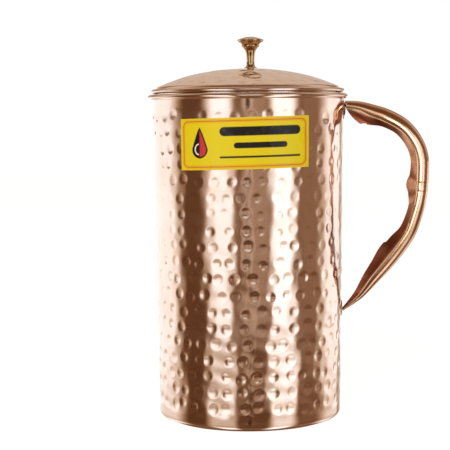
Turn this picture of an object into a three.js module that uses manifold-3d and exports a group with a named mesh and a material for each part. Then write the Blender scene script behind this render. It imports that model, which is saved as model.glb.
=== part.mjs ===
// Hammered copper water jug with a rolled-sheet handle and a lift-off lid that has a turned brass knob.
// Millimetres, +Z up. The origin is the centre of the underside, on the jug's axis, and the handle is at +X.

import * as THREE from "three";
import { mergeVertices } from "three/addons/utils/BufferGeometryUtils.js";
import Module from "manifold-3d";

const wasm = await Module();
wasm.setup();

// Driving dimensions: the jug
const SHEET = 0.7; // thickness of the wall and the base
const GAP = 0.3; // clearance where two pieces are pressed or brazed together
const RIM_RADIUS = 56; // outside of the wall just under the rim
const FOOT_RADIUS = 53.8; // outside of the wall just above the bottom corner
const RIM_Z = 187.6; // middle of the rolled rim
const RIM_ROLL = 1.25; // radius of the rim's roll, to the middle of the sheet
const FOOT_CORNER = 3; // outside radius of the bottom corner
const FLANGE_TOP = 9; // top of the base's flange, inside the wall

// Driving dimensions: the lid
const LID_SHEET = 0.6;
const DOME_TOP = 204;
const DOME_EDGE = new THREE.Vector2(52.8, 193.5); // where the dome ends and the groove starts
const LID_BEAD = new THREE.Vector2(55.2, 190.9); // middle of the lid's rolled edge
const LID_ROLL = 1;
const COLLAR_RADIUS = 53.1; // outside of the collar that hangs in the mouth
const COLLAR_BOTTOM = 181;
const COLLAR_TOP = 191.8;
const KNOB_OFFSET = 1.8; // the hand-punched hole sits a little off centre, towards the handle
const STUD_RADIUS = 2;
const STUD_BOTTOM = 197.6;
const WASHER_TOP = DOME_TOP - LID_SHEET - 2 * GAP; // clear of the dome's curve
const WASHER_THICKNESS = 0.8;

// Driving dimensions: the label, wrapped round the front of the wall, towards -Y
const LABEL_FROM = -133; // degrees round the axis from +X
const LABEL_TO = -54;
const LABEL_MIDDLE_Z = 161.5;
const LABEL_HEIGHT = 28.5;
const LABEL_RISE = 1.6; // how much higher its right end sits than its left end
const LABEL_THICKNESS = 0.3;

// Driving dimensions: the handle
const HANDLE_SHEET = 0.9;
const CREASE_ANGLE = 115; // degrees from the outermost line to where the flanges turn in
const KEEL_HALF_WIDTH = 0.9; // the two flanges pressed together
const TAB_MIDDLE_Z = 179.6;

// Facets
const ROUND_SEGMENTS = 48;
const KNOB_SEGMENTS = 24;
const WIRE_SIDES = 6;

const COPPER = { color: 0xc98a66, roughness: 0.18, metalness: 1 };
const DARK_COPPER = { color: 0x9a5a38, roughness: 0.25, metalness: 1 };
const BRASS = { color: 0xc9a25a, roughness: 0.2, metalness: 1 };
const BRAZE = { color: 0xa8835a, roughness: 0.45, metalness: 1 };
const LABEL_FOIL = { color: 0xe4c80f, roughness: 0.4, metalness: 0 };

/** Points on a circle round a middle, from one angle to another in degrees. */
function arc(middle, radius, from, to, steps) {
  return Array.from({ length: steps + 1 }, (_, i) => {
    const angle = THREE.MathUtils.degToRad(from + ((to - from) * i) / steps);
    return new THREE.Vector2(Math.cos(angle), Math.sin(angle)).multiplyScalar(radius).add(middle);
  });
}

/** Outline of a bent sheet, given the line through the middle of its thickness. */
function sheetOutline(middleLine, thickness) {
  const side = (sign) =>
    middleLine.map((point, i) => {
      const before = middleLine[Math.max(i - 1, 0)];
      const after = middleLine[Math.min(i + 1, middleLine.length - 1)];
      const along = after.clone().sub(before).normalize();
      const across = new THREE.Vector2(along.y, -along.x);
      return point.clone().addScaledVector(across, (sign * thickness) / 2);
    });
  return [...side(1), ...side(-1).reverse()];
}

/** Solid of revolution about +Z from an outline of (radius, z) points. */
function lathe(outline, segments = ROUND_SEGMENTS) {
  const onAxis = outline[0].x === 0;
  const profile = onAxis ? outline : [...outline, outline[0].clone()];
  return new THREE.LatheGeometry(profile, segments).rotateX(Math.PI / 2);
}

/** Ring with a rectangular section, such as a collar or a washer. */
function flatRing(innerRadius, outerRadius, bottom, top, segments) {
  const corners = [
    new THREE.Vector2(innerRadius, bottom),
    new THREE.Vector2(outerRadius, bottom),
    new THREE.Vector2(outerRadius, top),
    new THREE.Vector2(innerRadius, top),
  ];
  return lathe(corners, segments);
}

/** Ring of round wire. */
function wireRing(middle, radius) {
  return lathe(arc(middle, radius, 0, 360, WIRE_SIDES).slice(0, WIRE_SIDES));
}

/** Skin over a row of equal rings of points. The row closes on itself, or ends in two flat caps. */
function loft(rings, closed = false) {
  const size = rings[0].length;
  const points = rings.flat();
  const faces = [];
  const last = closed ? rings.length : rings.length - 1;
  for (let i = 0; i < last; i += 1) {
    const here = i * size;
    const next = ((i + 1) % rings.length) * size;
    for (let j = 0; j < size; j += 1) {
      const k = (j + 1) % size;
      faces.push(here + j, here + k, next + k, here + j, next + k, next + j);
    }
  }
  if (!closed) {
    const end = (rings.length - 1) * size;
    for (const [start, flip] of [[0, true], [end, false]]) {
      const middle = points.length;
      const ring = points.slice(start, start + size);
      points.push(ring.reduce((sum, p) => sum.add(p), new THREE.Vector3()).divideScalar(size));
      for (let j = 0; j < size; j += 1) {
        const k = (j + 1) % size;
        faces.push(middle, start + (flip ? k : j), start + (flip ? j : k));
      }
    }
  }
  return new THREE.BufferGeometry().setFromPoints(points).setIndex(faces);
}

/** The geometry as a manifold-3d solid. */
function solid(geometry) {
  const bare = geometry.clone();
  bare.deleteAttribute("normal");
  bare.deleteAttribute("uv");
  const merged = mergeVertices(bare);
  return new wasm.Manifold(
    new wasm.Mesh({
      numProp: 3,
      vertProperties: merged.attributes.position.array,
      triVerts: new Uint32Array(merged.index.array),
    }),
  );
}

/** One geometry with another cut out of it. */
function cut(geometry, tool) {
  const result = solid(geometry).subtract(solid(tool)).getMesh();
  return new THREE.BufferGeometry()
    .setAttribute("position", new THREE.BufferAttribute(result.vertProperties, 3))
    .setIndex(new THREE.BufferAttribute(result.triVerts, 1));
}

/** One named piece with its own material. */
function piece(name, geometry, finish) {
  const mesh = new THREE.Mesh(geometry, new THREE.MeshStandardMaterial(finish));
  mesh.name = name;
  return mesh;
}

/** Outside radius of the tapered wall at a height. */
function wallRadius(z) {
  return THREE.MathUtils.mapLinear(z, 0, RIM_Z, FOOT_RADIUS, RIM_RADIUS);
}

/** Point that stands off the wall, by its angle in radians round the axis. */
function offWall(angle, z, standOff) {
  const radius = wallRadius(z) + standOff;
  return new THREE.Vector3(radius * Math.cos(angle), radius * Math.sin(angle), z);
}

/** Loop of points off the wall, an ellipse seen along -X. */
function wallEllipse(middleZ, halfWidth, halfHeight, standOff, turn) {
  const z = middleZ + halfHeight * Math.sin(turn);
  const angle = (halfWidth * Math.cos(turn)) / wallRadius(z);
  return offWall(angle, z, standOff);
}

// The jug

function bodyWall() {
  const corner = new THREE.Vector2(FOOT_RADIUS - FOOT_CORNER, FOOT_CORNER);
  const rim = new THREE.Vector2(RIM_RADIUS - SHEET / 2 + RIM_ROLL, RIM_Z);
  const middleLine = [
    ...arc(corner, FOOT_CORNER - SHEET / 2, -60, 0, 4),
    ...arc(rim, RIM_ROLL, 180, -110, 11),
  ];
  return piece("body_wall", lathe(sheetOutline(middleLine, SHEET)), COPPER);
}

function rimWire() {
  const middle = new THREE.Vector2(RIM_RADIUS - SHEET / 2 + RIM_ROLL, RIM_Z);
  return piece("rim_wire", wireRing(middle, RIM_ROLL - SHEET / 2 - GAP), DARK_COPPER);
}

/** Flat disc whose edge steps up, so that it ends flush with the wall, and turns into a flange. */
function basePlate() {
  const corner = new THREE.Vector2(FOOT_RADIUS - FOOT_CORNER, FOOT_CORNER);
  const cornerRadius = FOOT_CORNER - SHEET - GAP - SHEET / 2;
  const stepTop = FOOT_CORNER - cornerRadius;
  const stepStart = corner.x - 3.2;
  const middleLine = [
    new THREE.Vector2(0, SHEET / 2),
    new THREE.Vector2(stepStart, SHEET / 2),
    new THREE.Vector2(stepStart + 0.8, SHEET / 2 + 0.25),
    new THREE.Vector2(stepStart + 1.6, stepTop - 0.25),
    new THREE.Vector2(stepStart + 2.4, stepTop),
    ...arc(corner, cornerRadius, -90, 0, 4),
    new THREE.Vector2(wallRadius(FLANGE_TOP) - SHEET - GAP - SHEET / 2, FLANGE_TOP),
  ];
  return piece("base_plate", lathe(sheetOutline(middleLine, SHEET)), COPPER);
}

/** Brazing that fills the groove between the wall's turned-in edge and the step of the base. */
function baseBraze() {
  const middle = FOOT_RADIUS - FOOT_CORNER;
  const bottom = 0.15;
  const top = 0.65;
  const section = [
    new THREE.Vector2(middle - 1.2, bottom),
    new THREE.Vector2(middle + 0.8, bottom),
    new THREE.Vector2(middle + 0.7, top),
    new THREE.Vector2(middle - 0.5, top),
  ];
  return piece("base_braze", lathe(section), BRAZE);
}

/** Foil label wrapped round the front, a thin sheet that rises a little to its right end. */
function label() {
  const stations = 20;
  const rings = Array.from({ length: stations + 1 }, (_, i) => {
    const share = i / stations;
    const angle = THREE.MathUtils.degToRad(THREE.MathUtils.lerp(LABEL_FROM, LABEL_TO, share));
    const middleZ = LABEL_MIDDLE_Z + LABEL_RISE * (share - 0.5);
    const low = middleZ - LABEL_HEIGHT / 2;
    const high = middleZ + LABEL_HEIGHT / 2;
    return [
      offWall(angle, low, GAP),
      offWall(angle, high, GAP),
      offWall(angle, high, GAP + LABEL_THICKNESS),
      offWall(angle, low, GAP + LABEL_THICKNESS),
    ];
  });
  return piece("label", loft(rings), LABEL_FOIL);
}

// The handle

// Along the handle from its lower point to its upper tip: the outer edge (x, z), the depth from that edge
// to the keel, and half the width.
const HANDLE_STATIONS = [
  { x: 55.8, z: 60.1, depth: 1.5, halfWidth: 0.9 },
  { x: 67, z: 67.6, depth: 5.9, halfWidth: 2.6 },
  { x: 76.5, z: 77.1, depth: 9.8, halfWidth: 4.2 },
  { x: 85.5, z: 86.6, depth: 12, halfWidth: 5 },
  { x: 93.2, z: 96.2, depth: 12.8, halfWidth: 5.3 },
  { x: 99.3, z: 106, depth: 10.2, halfWidth: 5.2 },
  { x: 103.8, z: 119.5, depth: 9.6, halfWidth: 5.2 },
  { x: 105.6, z: 128, depth: 11.3, halfWidth: 5.2 },
  { x: 106.3, z: 134.5, depth: 12.8, halfWidth: 5.2 },
  { x: 106.7, z: 141.5, depth: 11.2, halfWidth: 5.2 },
  { x: 106.6, z: 150.5, depth: 10.6, halfWidth: 5.2 },
  { x: 104.4, z: 159, depth: 10.5, halfWidth: 5.2 },
  { x: 99.5, z: 167.5, depth: 10.5, halfWidth: 5.2 },
  { x: 92.6, z: 174.4, depth: 10.5, halfWidth: 5.2 },
  { x: 83, z: 179.6, depth: 10.9, halfWidth: 5.1 },
  { x: 74, z: 182.5, depth: 11.7, halfWidth: 4.9 },
  { x: 66, z: 184.4, depth: 12, halfWidth: 4.4 },
  { x: 57.3, z: 184.9, depth: 9.5, halfWidth: 3 },
];
const MOUTH_SLANT = 0.75; // how far the upper mouth is cut back, as a share of the depth
const MOUTH_LENGTH = 3; // stations over which the slant fades out
const CAVITY_START = 2; // station where the hollow begins
const RINGS_PER_STATION = 3;

const handleEdge = new THREE.CatmullRomCurve3(HANDLE_STATIONS.map((s) => new THREE.Vector3(s.x, 0, s.z)));
const handleSize = new THREE.CatmullRomCurve3(
  HANDLE_STATIONS.map((s) => new THREE.Vector3(s.depth, s.halfWidth, 0)),
);

/** Section of the handle's sheet at a station: round outside, with flanges that meet in a keel. */
function handleRing(station, inset) {
  const last = HANDLE_STATIONS.length - 1;
  const share = station / last;
  const edge = handleEdge.getPoint(share);
  const along = handleEdge.getTangent(share);
  const inward = new THREE.Vector3(-along.z, 0, along.x);
  const { x: depth, y: halfWidth } = handleSize.getPoint(share);
  const slant = MOUTH_SLANT * Math.max(0, 1 - (last - station) / MOUTH_LENGTH);
  const radius = halfWidth - inset;
  const keelDepth = depth - 2 * inset;
  const keelHalfWidth = Math.min(KEEL_HALF_WIDTH, halfWidth / 2) / (1 + 2 * inset);
  const round = arc(new THREE.Vector2(radius, 0), radius, 180 + CREASE_ANGLE, 180 - CREASE_ANGLE, 10);
  const section = [
    ...round,
    new THREE.Vector2(keelDepth, keelHalfWidth),
    new THREE.Vector2(keelDepth, -keelHalfWidth),
  ];
  return section.map(({ x: inwards, y: sideways }) =>
    edge
      .clone()
      .addScaledVector(inward, inwards + inset)
      .addScaledVector(along, -slant * (inwards + inset))
      .add(new THREE.Vector3(0, sideways, 0)),
  );
}

/** Rolled-sheet handle, closed to a point below and open at its slanted upper mouth. */
function handleShell() {
  const last = (HANDLE_STATIONS.length - 1) * RINGS_PER_STATION;
  const outside = Array.from({ length: last + 1 }, (_, i) => handleRing(i / RINGS_PER_STATION, 0));
  const hollow = Array.from({ length: last + 1 - CAVITY_START * RINGS_PER_STATION }, (_, i) =>
    handleRing((last - i) / RINGS_PER_STATION, HANDLE_SHEET),
  );
  return piece("handle_shell", loft([...outside, ...hollow]), DARK_COPPER);
}

/** Flattened tab that the handle's upper tip ends in, lying against the wall. */
function handleTopTab() {
  const sides = 20;
  const loop = (halfWidth, halfHeight, standOff) =>
    Array.from({ length: sides }, (_, i) =>
      wallEllipse(TAB_MIDDLE_Z, halfWidth, halfHeight, standOff, (2 * Math.PI * i) / sides),
    );
  const rings = [loop(3.6, 4, GAP), loop(4, 4.4, GAP + 0.3), loop(3.8, 4.2, GAP + 1), loop(3.2, 3.6, GAP + 1.3)];
  return piece("handle_top_tab", loft(rings), DARK_COPPER);
}

/** Fillet of brazing round a joint on the wall: thick at the joint, thin at its outer edge. */
function brazeFillet(name, middleZ, halfWidth, halfHeight, spread) {
  const turns = 20;
  const height = 0.8;
  const rings = Array.from({ length: turns }, (_, i) => {
    const turn = (2 * Math.PI * i) / turns;
    const at = (out, standOff) => wallEllipse(middleZ, halfWidth + out, halfHeight + out, standOff, turn);
    const inner = [at(0, GAP), at(0, GAP + height)];
    const outer = [at(spread / 2, GAP + height / 2), at(spread, GAP + 0.15), at(spread, GAP)];
    return [...inner, ...outer];
  });
  return piece(name, loft(rings, true), BRAZE);
}

// The lid

/** Hammered dome with a groove round it and an edge rolled over a wire. */
function lidDome() {
  const crown = new THREE.SplineCurve([
    new THREE.Vector2(0, DOME_TOP),
    new THREE.Vector2(17, DOME_TOP - 0.7),
    new THREE.Vector2(32.5, DOME_TOP - 3.1),
    new THREE.Vector2(44, DOME_TOP - 7),
    DOME_EDGE,
  ]);
  const middleLine = [
    ...crown.getPoints(9).map((p) => new THREE.Vector2(p.x, p.y - LID_SHEET / 2)),
    ...arc(LID_BEAD, LID_ROLL, 165, -140, 9),
  ];
  const hole = new THREE.CylinderGeometry(STUD_RADIUS + GAP, STUD_RADIUS + GAP, 10, KNOB_SEGMENTS)
    .rotateX(Math.PI / 2)
    .translate(KNOB_OFFSET, 0, DOME_TOP);
  return piece("lid_dome", cut(lathe(sheetOutline(middleLine, LID_SHEET)), hole), COPPER);
}

function lidEdgeWire() {
  return piece("lid_edge_wire", wireRing(LID_BEAD, LID_ROLL - LID_SHEET / 2 - GAP), DARK_COPPER);
}

/** Short collar that hangs in the jug's mouth and keeps the lid from sliding off. */
function lidCollar() {
  const ring = flatRing(COLLAR_RADIUS - LID_SHEET, COLLAR_RADIUS, COLLAR_BOTTOM, COLLAR_TOP);
  return piece("lid_collar", ring, COPPER);
}

/** Turned knob: a dished disc over a bead, a slim waisted stem, a small foot and the stud below it. */
function knob() {
  const foot = DOME_TOP + GAP;
  const side = new THREE.SplineCurve([
    new THREE.Vector2(3.7, foot + 0.4),
    new THREE.Vector2(2.5, foot + 1.2),
    new THREE.Vector2(2.3, foot + 3.6),
    new THREE.Vector2(2.6, foot + 7.5),
    new THREE.Vector2(3.2, foot + 10.3),
    new THREE.Vector2(4.5, foot + 12.2),
  ]);
  const outline = [
    new THREE.Vector2(0, STUD_BOTTOM),
    new THREE.Vector2(STUD_RADIUS, STUD_BOTTOM),
    new THREE.Vector2(STUD_RADIUS, foot),
    new THREE.Vector2(3.7, foot),
    ...side.getPoints(10),
    ...arc(new THREE.Vector2(4.4, foot + 13), 0.8, -60, 90, 4),
    new THREE.Vector2(6.1, foot + 14.6),
    new THREE.Vector2(7.4, foot + 15.5),
    new THREE.Vector2(7.7, foot + 16.2),
    new THREE.Vector2(7.3, foot + 16.8),
    new THREE.Vector2(5.6, foot + 17.5),
    new THREE.Vector2(3.1, foot + 18.1),
    new THREE.Vector2(0, foot + 18.3),
  ];
  return piece("knob", lathe(outline, KNOB_SEGMENTS), BRASS);
}

function knobWasher() {
  const ring = flatRing(STUD_RADIUS + GAP, 4.5, WASHER_TOP - WASHER_THICKNESS, WASHER_TOP, KNOB_SEGMENTS);
  return piece("knob_washer", ring, BRASS);
}

/** Hexagon nut on the stud, under the washer. */
function knobNut() {
  const top = WASHER_TOP - WASHER_THICKNESS - GAP;
  const height = 3.2;
  const acrossFlats = 7;
  const corner = acrossFlats / Math.sqrt(3);
  const hexagon = new THREE.Shape(arc(new THREE.Vector2(), corner, 0, 300, 5));
  hexagon.holes.push(new THREE.Path().absarc(0, 0, STUD_RADIUS + GAP, 0, 2 * Math.PI));
  const nut = new THREE.ExtrudeGeometry(hexagon, { depth: height, bevelEnabled: false, curveSegments: 12 });
  return piece("knob_nut", nut.translate(0, 0, top - height), BRASS);
}

const knobGroup = new THREE.Group();
knobGroup.position.x = KNOB_OFFSET;
knobGroup.add(knob(), knobWasher(), knobNut());

const lid = new THREE.Group();
lid.add(lidDome(), lidEdgeWire(), lidCollar(), knobGroup);

const handle = new THREE.Group();
handle.add(
  handleShell(),
  handleTopTab(),
  brazeFillet("handle_upper_braze", TAB_MIDDLE_Z, 4.4, 4.8, 1.1),
  brazeFillet("handle_lower_braze", 62, 2, 3.4, 1.4),
);

const jug = new THREE.Group();
jug.add(bodyWall(), rimWire(), basePlate(), baseBraze(), label(), handle, lid);

export default jug;
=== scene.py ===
"""Looks of the hammered copper water jug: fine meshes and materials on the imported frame.

Metres, +Z up.
"""

import math

import bmesh
import bpy
import numpy as np
from mathutils import Euler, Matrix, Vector

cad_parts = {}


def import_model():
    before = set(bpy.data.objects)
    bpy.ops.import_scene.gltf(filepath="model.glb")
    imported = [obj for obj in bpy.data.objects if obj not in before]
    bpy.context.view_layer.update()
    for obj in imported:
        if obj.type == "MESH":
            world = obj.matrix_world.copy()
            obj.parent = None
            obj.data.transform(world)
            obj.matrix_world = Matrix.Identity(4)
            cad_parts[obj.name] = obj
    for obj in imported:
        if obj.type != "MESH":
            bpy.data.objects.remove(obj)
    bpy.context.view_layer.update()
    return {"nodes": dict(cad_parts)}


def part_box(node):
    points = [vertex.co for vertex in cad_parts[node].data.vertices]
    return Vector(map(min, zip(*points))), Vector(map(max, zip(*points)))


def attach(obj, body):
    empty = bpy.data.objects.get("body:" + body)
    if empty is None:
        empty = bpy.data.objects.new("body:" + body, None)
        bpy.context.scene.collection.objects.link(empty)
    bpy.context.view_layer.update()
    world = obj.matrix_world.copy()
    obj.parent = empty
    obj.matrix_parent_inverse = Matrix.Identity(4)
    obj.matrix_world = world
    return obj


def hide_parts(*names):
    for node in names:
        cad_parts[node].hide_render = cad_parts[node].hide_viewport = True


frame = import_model()

MM = 0.001
RANDOM = np.random.default_rng(73)

# Driving sizes, in metres
SHEET = 0.7 * MM
LID_SHEET = 0.6 * MM
HANDLE_SHEET = 0.9 * MM
GAP = 0.3 * MM
RIM_BEAD = 1.6 * MM  # radius of the rolled rim, over the sheet
LID_BEAD = 1.3 * MM  # radius of the lid's rolled edge, over the sheet
FOOT_CORNER = 3 * MM
CELL = 0.95 * MM  # spacing of the fine grid on hammered sheet
SHARP_ANGLE = math.radians(50)  # faces that meet at more than this keep a crisp edge
SAME_POINT = 1e-7  # points closer than this are one

# Places, from the frame
WALL_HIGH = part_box("body_wall")[1]
BASE_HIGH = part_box("base_plate")[1]
DOME_LOW, DOME_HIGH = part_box("lid_dome")
COLLAR_LOW, COLLAR_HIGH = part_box("lid_collar")
KNOB_LOW, KNOB_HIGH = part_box("knob")
LABEL_LOW, LABEL_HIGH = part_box("label")
TAB_LOW, TAB_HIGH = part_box("handle_top_tab")
RIM_Z = WALL_HIGH.z - RIM_BEAD
RIM_RADIUS = WALL_HIGH.x - 2 * RIM_BEAD + SHEET  # outside of the wall, just under the rim
FOOT_RADIUS = BASE_HIGH.x + GAP + SHEET - 0.1 * MM  # less the lean of the wall up to the flange
KNOB_X = (KNOB_LOW.x + KNOB_HIGH.x) / 2


# Meshes

def finish_mesh(name, mesh, body, slot, material, *nodes):
    """Object from a mesh: smooth with crisp edges, facing out, on its body in place of its CAD nodes."""
    work = bmesh.new()
    work.from_mesh(mesh)
    bmesh.ops.remove_doubles(work, verts=work.verts, dist=SAME_POINT)
    bmesh.ops.recalc_face_normals(work, faces=work.faces)
    work.to_mesh(mesh)
    work.free()
    mesh.shade_smooth()
    mesh.set_sharp_from_angle(angle=SHARP_ANGLE)
    mesh.materials.append(material)
    piece = bpy.data.objects.new(name, mesh)
    bpy.context.scene.collection.objects.link(piece)
    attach(piece, body)
    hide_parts(*nodes)
    return piece


def ring_mesh(name, rings, closed=False, sheet_ends=False):
    """Skin over rings of points, an array of (rings, points, 3). Ends are closed by the ring, by a cap, or,
    where each ring is the outline of a bent sheet, by a strip between its two sides."""
    rings = np.asarray(rings, float)
    count, size = rings.shape[:2]
    row = np.arange(count if closed else count - 1)[:, None]
    column = np.arange(size)[None, :]
    here = row * size
    there = ((row + 1) % count) * size
    right = (column + 1) % size
    faces = np.stack([here + column, here + right, there + right, there + column], -1).reshape(-1, 4).tolist()
    if sheet_ends:
        strip = [(i, i + 1, size - 2 - i, size - 1 - i) for i in range(size // 2 - 1)]
        faces += strip + [tuple(corner + (count - 1) * size for corner in face) for face in strip]
    elif not closed:
        faces += [tuple(range(size)), tuple(range((count - 1) * size, count * size))]
    mesh = bpy.data.meshes.new(name)
    mesh.from_pydata(rings.reshape(-1, 3).tolist(), [], faces)
    return mesh


def paint_points(mesh, attribute, shares):
    """Grey colour attribute that carries a share from 0 to 1 for each point."""
    shares = shares.astype(np.float32).ravel()
    colours = np.stack([shares] * 3 + [np.ones_like(shares)], -1)
    mesh.color_attributes.new(attribute, "FLOAT_COLOR", "POINT").data.foreach_set("color", colours.ravel())


def arc(x, y, radius, start, end, steps):
    """Points on a circle, angles in degrees."""
    turn = np.radians(np.linspace(start, end, steps + 1))
    return np.stack([x + radius * np.cos(turn), y + radius * np.sin(turn)], -1)


def line(start, end, steps):
    """Points between two ends, both left out."""
    share = np.linspace(0, 1, steps + 1)[1:-1, None]
    return np.asarray(start) * (1 - share) + np.asarray(end) * share


def turned_rings(profile, turn):
    """Rings of points about the axis, one for each (radius, z)."""
    profile = np.asarray(profile, float)
    radius, height = profile[:, :1], profile[:, 1:]
    return np.stack([radius * np.cos(turn), radius * np.sin(turn), height + 0 * turn], -1)


def turned(name, profile, segments, middle_x=0, closed=True):
    """Mesh of revolution about +Z from (radius, z) points, closed on itself or from axis to axis."""
    turn = np.linspace(0, 2 * np.pi, segments, endpoint=False)
    rings = turned_rings(profile, turn) + [middle_x, 0, 0]
    return ring_mesh(name, rings, closed=closed)


def sheet_outline(middle_line, thickness):
    """Closed outline of a bent sheet from the line through the middle of its thickness."""
    middle_line = np.asarray(middle_line, float)
    along = np.gradient(middle_line, axis=0)
    along /= np.linalg.norm(along, axis=1)[:, None]
    across = np.stack([along[:, 1], -along[:, 0]], -1) * thickness / 2
    return np.concatenate([middle_line + across, (middle_line - across)[::-1]])


# Hammer marks

def mark_rows(rows, low, high, length, spacing, radius, depth_at):
    """Rows of hammer marks as (across, along, radius, depth), no two alike. Each row starts anywhere."""
    marks = []
    count = round(length / spacing)
    for along in np.linspace(low, high, rows):
        start = RANDOM.uniform(0, spacing)
        for i in range(count):
            across = start + (i + RANDOM.uniform(-0.2, 0.2)) * length / count
            height = along + RANDOM.normal(0, 0.6 * MM)
            size = radius * RANDOM.uniform(0.84, 1.12)
            marks.append((across, height, size, depth_at(height) * RANDOM.uniform(0.7, 1.25)))
    return marks


HOLLOW, LIP = 0.25, 0.08  # the wide hollow round a mark and its raised lip, as shares of the mark's depth


def beaten_in(across, along, marks, period):
    """How far each point is beaten in: sharp-edged cups, each in a wide hollow with a raised lip."""
    cup = np.zeros_like(across)
    hollow = np.zeros_like(across)
    for mark_across, mark_along, radius, depth in marks:
        aside = (across - mark_across + period / 2) % period - period / 2
        share = (aside / radius) ** 2 + ((along - mark_along) / radius) ** 2
        cup = np.maximum(cup, depth * np.clip(1 - share**2, 0, 1))
        hollow += depth * (HOLLOW * np.exp(-share / 3) - LIP * np.exp(-((share - 1.6) ** 2) / 0.25))
    return cup + hollow


def fade(value, start, end):
    """0 before start, 1 after end, smooth between. Start may be above end."""
    share = np.clip((value - start) / (end - start), 0, 1)
    return share * share * (3 - 2 * share)


# The wall

WALL_PERIMETER = 2 * np.pi * 55 * MM  # about half-way up
MARK_LOW, MARK_HIGH, MARK_ROWS = 12.7 * MM, 176.8 * MM, 19
MARK_SPACING, MARK_RADIUS = 9.6 * MM, 2.7 * MM
BEATEN_FROM = (7 * MM, 10 * MM)  # where the hammering starts over the foot
BEATEN_TO = (RIM_Z - 6 * MM, RIM_Z - 9 * MM)  # and where it ends under the rim
SOFT_ABOVE = 120 * MM  # from here down the wall is beaten harder
MARKS_HARD_BELOW, WAVES_HARD_BELOW = 85 * MM, 80 * MM  # where marks and waves reach their full depth
LAP_Z, LAP_DEPTH = 57 * MM, 0.2 * MM  # a faint pressed line round the wall, broken in places
LAP_TAIL, LAP_RAGGED = 9 * MM, 0.8 * MM

# Slow waves of the beaten sheet: share of the depth, then two crossing waves, each with its periods round the
# wall, its radians per metre of height and its start.
WALL_WAVES = [
    (1, (5, 40, 0), (7, -90, 1)),
    (0.7, (13, 150, 2), (4, 60, 0)),
    (0.3, (29, 310, 0), (17, -430, 1)),
]


def wall_radius(z):
    """Outside of the wall, which leans in towards the foot."""
    return FOOT_RADIUS + (RIM_RADIUS - FOOT_RADIUS) * z / RIM_Z


def wall_mark_depth(z):
    """The lower half of the wall is beaten harder than the upper half."""
    return (0.18 + 0.09 * fade(z, SOFT_ABOVE, MARKS_HARD_BELOW)) * MM


WALL_MARKS = mark_rows(
    MARK_ROWS, MARK_LOW, MARK_HIGH, WALL_PERIMETER, MARK_SPACING, MARK_RADIUS, wall_mark_depth,
)


def wall_waves(turn, z):
    """Slow unevenness of the beaten sheet, deeper in the lower half."""
    depth = (0.11 + 0.06 * fade(z, SOFT_ABOVE, WAVES_HARD_BELOW)) * MM
    waves = 0
    for share, *pair in WALL_WAVES:
        first, second = (np.sin(periods * turn + climb * z + start) for periods, climb, start in pair)
        waves = waves + share * first * second
    return depth * waves


def wall_lap(turn, z):
    """The pressed line: a ragged step above, fading out below."""
    ragged = LAP_Z + LAP_RAGGED * np.sin(9 * turn) * np.sin(4 * turn + 1)
    broken = fade(np.sin(3 * turn + 2) + np.sin(8 * turn), 0.2, 1.4)
    step = fade(z, ragged + 0.8 * MM, ragged - 0.8 * MM)
    return LAP_DEPTH * broken * step * fade(z, ragged - LAP_TAIL, ragged - 1 * MM)


def wall_dent(turn, z):
    """How far the wall is beaten in at an angle and a height."""
    turn, z = np.broadcast_arrays(turn, z)
    across = turn * WALL_PERIMETER / (2 * np.pi)
    marks = beaten_in(across, z, WALL_MARKS, WALL_PERIMETER)
    return (marks + wall_waves(turn, z) + wall_lap(turn, z)) * fade(z, *BEATEN_FROM) * fade(z, *BEATEN_TO)


def body_wall(material):
    """Hammered wall with a rolled rim and a turned-in foot, as rings from the foot up and back."""
    columns = round(WALL_PERIMETER / CELL)
    turn = np.linspace(0, 2 * np.pi, columns, endpoint=False)
    corner = FOOT_RADIUS - FOOT_CORNER
    roll = RIM_RADIUS - SHEET + RIM_BEAD
    foot_outside = arc(corner, FOOT_CORNER, FOOT_CORNER, -60, 0, 7)
    outside_rows = round((RIM_Z - FOOT_CORNER) / CELL)
    outside = line((FOOT_RADIUS, FOOT_CORNER), (RIM_RADIUS, RIM_Z), outside_rows)
    roll_inside = arc(roll, RIM_Z, RIM_BEAD - SHEET, 180, -110, 6)
    roll_outside = arc(roll, RIM_Z, RIM_BEAD, -110, 180, 18)
    inside = line((RIM_RADIUS - SHEET, RIM_Z), (FOOT_RADIUS - SHEET, FOOT_CORNER), 40)
    foot_inside = arc(corner, FOOT_CORNER, FOOT_CORNER - SHEET, 0, -60, 4)
    profile = np.concatenate([foot_outside, outside, roll_inside, roll_outside, inside, foot_inside])
    height = profile[:, 1:] + 0 * turn
    on_sheet = np.zeros(len(profile), bool)
    on_sheet[len(foot_outside):len(foot_outside) + len(outside)] = True
    on_sheet[-len(inside) - len(foot_inside):-len(foot_inside)] = True
    dent = np.where(on_sheet[:, None], wall_dent(turn, height), 0)
    radius = profile[:, :1] - dent
    rings = np.stack([radius * np.cos(turn), radius * np.sin(turn), height], -1)
    mesh = ring_mesh("body_wall_fine", rings, closed=True)
    within = np.zeros((len(profile), columns), np.float32)
    within[-len(inside) - len(foot_inside):] = 1
    paint_points(mesh, "inside", within)
    return finish_mesh("body_wall_fine", mesh, "jug", "hammered_copper", material, "body_wall")


STEP_WIDTH, STEP_BEND, FLAT_POINTS = 3.2 * MM, 1.2 * MM, 90  # of the base plate
TURNING_DEPTH = 0.04 * MM


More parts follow.
